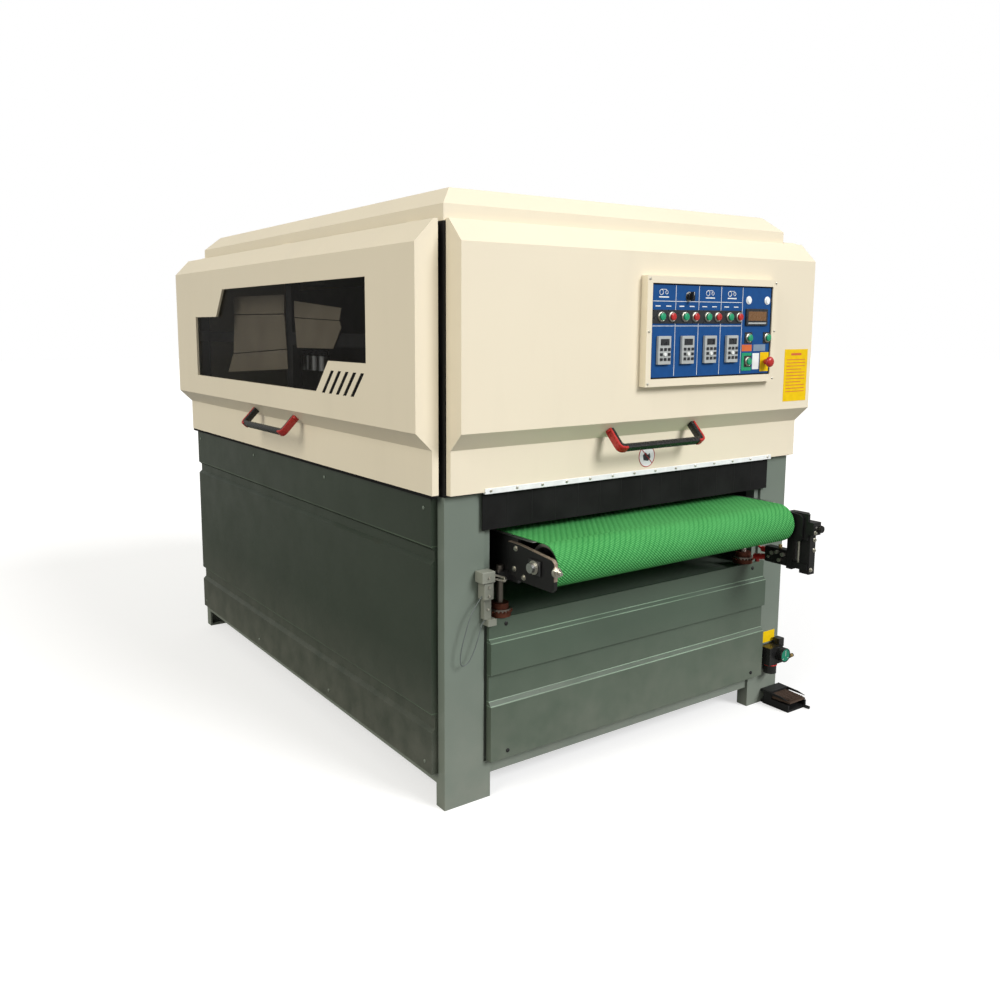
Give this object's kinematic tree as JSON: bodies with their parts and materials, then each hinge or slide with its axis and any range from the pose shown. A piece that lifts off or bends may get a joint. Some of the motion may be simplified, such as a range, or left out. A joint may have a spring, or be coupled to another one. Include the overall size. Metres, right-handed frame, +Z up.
{
  "type": "wide-belt sander",
  "caption": "Floor-standing wide-belt sanding machine with a lifting conveyor table, sanding drums under a hood with lift-up doors, and a push-button panel.",
  "frame": {"origin": "on the floor under the middle of the machine, halfway between the furthest points front to back and side to side", "axes": "+X to the right of someone feeding work in, +Y the feed direction from infeed to outfeed, +Z up"},
  "size_m": [1.9716, 2.968, 2.095],
  "materials": {
    "cream_paint": "smooth powder coat, semi-gloss",
    "grey_green_paint": "hammered machine enamel, semi-gloss",
    "black_paint": "satin black paint",
    "handle_black": "black bar with red end covers",
    "machined_steel": "ground steel",
    "dark_steel": "oiled dark steel",
    "black_rubber": "matt rubber",
    "green_belt": "woven green conveyor belting, rough-top",
    "abrasive": "aluminium-oxide grit on cloth",
    "roller_aluminium": "turned aluminium",
    "panel_blue": "blue printed panel",
    "smoked_window": "smoked acrylic sheet",
    "button_green": "green push-button cap",
    "button_red": "red push-button cap",
    "knob_black": "black rotary knob",
    "motor_grey": "grey cast motor housing",
    "brush_fibre": "abrasive-loaded fibre",
    "galvanised": "galvanised sheet",
    "screw_steel": "greased steel",
    "regulator_black": "black moulded housing"
  },
  "bodies": {
    "frame": {"base_frame": "grey_green_paint", "head_frame": "black_paint", "dust_hood": "galvanised", "rear_cover": "cream_paint", "top_cover": "cream_paint", "left_side_panel": "grey_green_paint", "right_side_panel": "grey_green_paint", "front_kick_panel": "grey_green_paint", "rear_kick_panel": "grey_green_paint", "outfeed_curtain": "black_rubber", "belt_motor_1": "motor_grey", "belt_motor_2": "motor_grey", "brush_motor": "motor_grey", "abrasive_belt_1": "abrasive", "abrasive_belt_2": "abrasive", "air_regulator": "regulator_black", "foot_switch_base": "black_paint"},
    "front_door": {"front_door": "cream_paint", "front_door_handle": "handle_black", "infeed_curtain": "black_rubber", "control_bezel": "cream_paint", "control_plate": "panel_blue"},
    "left_door": {"left_door": "cream_paint", "left_door_window": "smoked_window", "left_door_handle": "handle_black"},
    "right_door": {"right_door": "cream_paint", "right_door_handle": "handle_black"},
    "table": {"table_bed": "dark_steel", "conveyor_belt": "green_belt", "table_left_bearing_plate": "black_paint", "table_right_bearing_plate": "black_paint", "belt_tracking_bracket": "black_paint", "feed_gearmotor": "motor_grey"},
    "idler_roller": {"conveyor_idler_roller": "machined_steel"},
    "drive_roller": {"conveyor_drive_roller": "dark_steel"},
    "drum_1": {"contact_drum_1": "machined_steel"},
    "tension_1": {"tension_roller_1": "roller_aluminium"},
    "drum_2": {"contact_drum_2": "machined_steel"},
    "tension_2": {"tension_roller_2": "roller_aluminium"},
    "pressure_roller_infeed": {"pressure_roller_infeed": "black_rubber"},
    "pressure_roller_middle": {"pressure_roller_middle": "black_rubber"},
    "brush": {"brush_roller": "brush_fibre"},
    "jack_1": {"jack_screw_1": "screw_steel"},
    "jack_2": {"jack_screw_2": "screw_steel"},
    "jack_3": {"jack_screw_3": "screw_steel"},
    "jack_4": {"jack_screw_4": "screw_steel"},
    "start_button_1": {"start_button_1": "button_green"},
    "stop_button_1": {"stop_button_1": "button_red"},
    "start_button_2": {"start_button_2": "button_green"},
    "stop_button_2": {"stop_button_2": "button_red"},
    "start_button_3": {"start_button_3": "button_green"},
    "stop_button_3": {"stop_button_3": "button_red"},
    "start_button_4": {"start_button_4": "button_green"},
    "stop_button_4": {"stop_button_4": "button_red"},
    "table_up_button": {"table_up_button": "button_green"},
    "table_down_button": {"table_down_button": "button_green"},
    "power_button": {"power_button": "button_green"},
    "estop_button": {"estop_button": "button_red"},
    "selector_knob": {"selector_knob": "knob_black"},
    "foot_pedal": {"foot_pedal": "black_rubber"}
  },
  "joints": [
    {"name": "front_door_hinge", "type": "hinge", "parent": "frame", "child": "front_door", "pos_m": [0, -1.161, 1.8995], "axis": [-1, 0, 0], "range_deg": [0, 80]},
    {"name": "left_door_hinge", "type": "hinge", "parent": "frame", "child": "left_door", "pos_m": [-0.858, 0, 1.8995], "axis": [0, 1, 0], "range_deg": [0, 80]},
    {"name": "right_door_hinge", "type": "hinge", "parent": "frame", "child": "right_door", "pos_m": [0.858, 0, 1.8995], "axis": [0, -1, 0], "range_deg": [0, 80]},
    {"name": "table_lift", "type": "slide", "parent": "frame", "child": "table", "axis": [0, 0, 1], "range_m": [-0.075, 0.02]},
    {"name": "drive_roller_spin", "type": "hinge", "parent": "table", "child": "drive_roller", "pos_m": [0, 1.332, 0.8275], "axis": [-1, 0, 0], "continuous": true},
    {"name": "idler_roller_spin", "type": "hinge", "parent": "table", "child": "idler_roller", "pos_m": [0, -1.332, 0.8275], "axis": [-1, 0, 0], "continuous": true},
    {"name": "contact_drum_1_spin", "type": "hinge", "parent": "frame", "child": "drum_1", "pos_m": [0, -0.43, 1.05], "axis": [1, 0, 0], "continuous": true},
    {"name": "tension_roller_1_spin", "type": "hinge", "parent": "frame", "child": "tension_1", "pos_m": [0, -0.43, 1.64], "axis": [1, 0, 0], "continuous": true},
    {"name": "contact_drum_2_spin", "type": "hinge", "parent": "frame", "child": "drum_2", "pos_m": [0, 0.23, 1.04], "axis": [1, 0, 0], "continuous": true},
    {"name": "tension_roller_2_spin", "type": "hinge", "parent": "frame", "child": "tension_2", "pos_m": [0, 0.23, 1.64], "axis": [1, 0, 0], "continuous": true},
    {"name": "pressure_roller_infeed_spin", "type": "hinge", "parent": "frame", "child": "pressure_roller_infeed", "pos_m": [0, -0.76, 0.97], "axis": [-1, 0, 0], "continuous": true},
    {"name": "pressure_roller_middle_spin", "type": "hinge", "parent": "frame", "child": "pressure_roller_middle", "pos_m": [0, -0.09, 0.97], "axis": [-1, 0, 0], "continuous": true},
    {"name": "brush_spin", "type": "hinge", "parent": "frame", "child": "brush", "pos_m": [0, 0.64, 1.03], "axis": [1, 0, 0], "continuous": true},
    {"name": "jack_screw_1_turn", "type": "hinge", "parent": "frame", "child": "jack_1", "pos_m": [-0.616, -1.145, 0.64], "axis": [0, 0, 1], "range_deg": [-2702, 722]},
    {"name": "jack_screw_2_turn", "type": "hinge", "parent": "frame", "child": "jack_2", "pos_m": [0.616, -1.145, 0.64], "axis": [0, 0, 1], "range_deg": [-2702, 722]},
    {"name": "jack_screw_3_turn", "type": "hinge", "parent": "frame", "child": "jack_3", "pos_m": [-0.616, 1.145, 0.64], "axis": [0, 0, 1], "range_deg": [-2702, 722]},
    {"name": "jack_screw_4_turn", "type": "hinge", "parent": "frame", "child": "jack_4", "pos_m": [0.616, 1.145, 0.64], "axis": [0, 0, 1], "range_deg": [-2702, 722]},
    {"name": "start_button_1_press", "type": "slide", "parent": "front_door", "child": "start_button_1", "axis": [0, 1, 0], "range_m": [0, 0.004], "stiffness_N_per_m": 300},
    {"name": "stop_button_1_press", "type": "slide", "parent": "front_door", "child": "stop_button_1", "axis": [0, 1, 0], "range_m": [0, 0.004], "stiffness_N_per_m": 300},
    {"name": "start_button_2_press", "type": "slide", "parent": "front_door", "child": "start_button_2", "axis": [0, 1, 0], "range_m": [0, 0.004], "stiffness_N_per_m": 300},
    {"name": "stop_button_2_press", "type": "slide", "parent": "front_door", "child": "stop_button_2", "axis": [0, 1, 0], "range_m": [0, 0.004], "stiffness_N_per_m": 300},
    {"name": "start_button_3_press", "type": "slide", "parent": "front_door", "child": "start_button_3", "axis": [0, 1, 0], "range_m": [0, 0.004], "stiffness_N_per_m": 300},
    {"name": "stop_button_3_press", "type": "slide", "parent": "front_door", "child": "stop_button_3", "axis": [0, 1, 0], "range_m": [0, 0.004], "stiffness_N_per_m": 300},
    {"name": "start_button_4_press", "type": "slide", "parent": "front_door", "child": "start_button_4", "axis": [0, 1, 0], "range_m": [0, 0.004], "stiffness_N_per_m": 300},
    {"name": "stop_button_4_press", "type": "slide", "parent": "front_door", "child": "stop_button_4", "axis": [0, 1, 0], "range_m": [0, 0.004], "stiffness_N_per_m": 300},
    {"name": "table_up_button_press", "type": "slide", "parent": "front_door", "child": "table_up_button", "axis": [0, 1, 0], "range_m": [0, 0.004], "stiffness_N_per_m": 300},
    {"name": "table_down_button_press", "type": "slide", "parent": "front_door", "child": "table_down_button", "axis": [0, 1, 0], "range_m": [0, 0.004], "stiffness_N_per_m": 300},
    {"name": "power_button_press", "type": "slide", "parent": "front_door", "child": "power_button", "axis": [0, 1, 0], "range_m": [0, 0.004], "stiffness_N_per_m": 300},
    {"name": "estop_button_press", "type": "slide", "parent": "front_door", "child": "estop_button", "axis": [0, 1, 0], "range_m": [0, 0.005], "stiffness_N_per_m": 500},
    {"name": "selector_knob_turn", "type": "hinge", "parent": "front_door", "child": "selector_knob", "pos_m": [0.11, -1.27, 1.679], "axis": [0, 1, 0], "range_deg": [-45, 45]},
    {"name": "foot_pedal_press", "type": "hinge", "parent": "frame", "child": "foot_pedal", "pos_m": [0.807, -1.192, 0.038], "axis": [1, 0, 0], "range_deg": [0, 9], "stiffness_Nm_per_rad": 3, "springref_deg": -20.05}
  ],
  "couplings": [
    {"joint": "idler_roller_spin", "follows": "drive_roller_spin", "ratio": 1},
    {"joint": "tension_roller_1_spin", "follows": "contact_drum_1_spin", "ratio": 1.4532},
    {"joint": "tension_roller_2_spin", "follows": "contact_drum_2_spin", "ratio": 1.33},
    {"joint": "jack_screw_1_turn", "follows": "table_lift", "rad_per_m": 628.32},
    {"joint": "jack_screw_2_turn", "follows": "table_lift", "rad_per_m": 628.32},
    {"joint": "jack_screw_3_turn", "follows": "table_lift", "rad_per_m": 628.32},
    {"joint": "jack_screw_4_turn", "follows": "table_lift", "rad_per_m": 628.32}
  ]
}
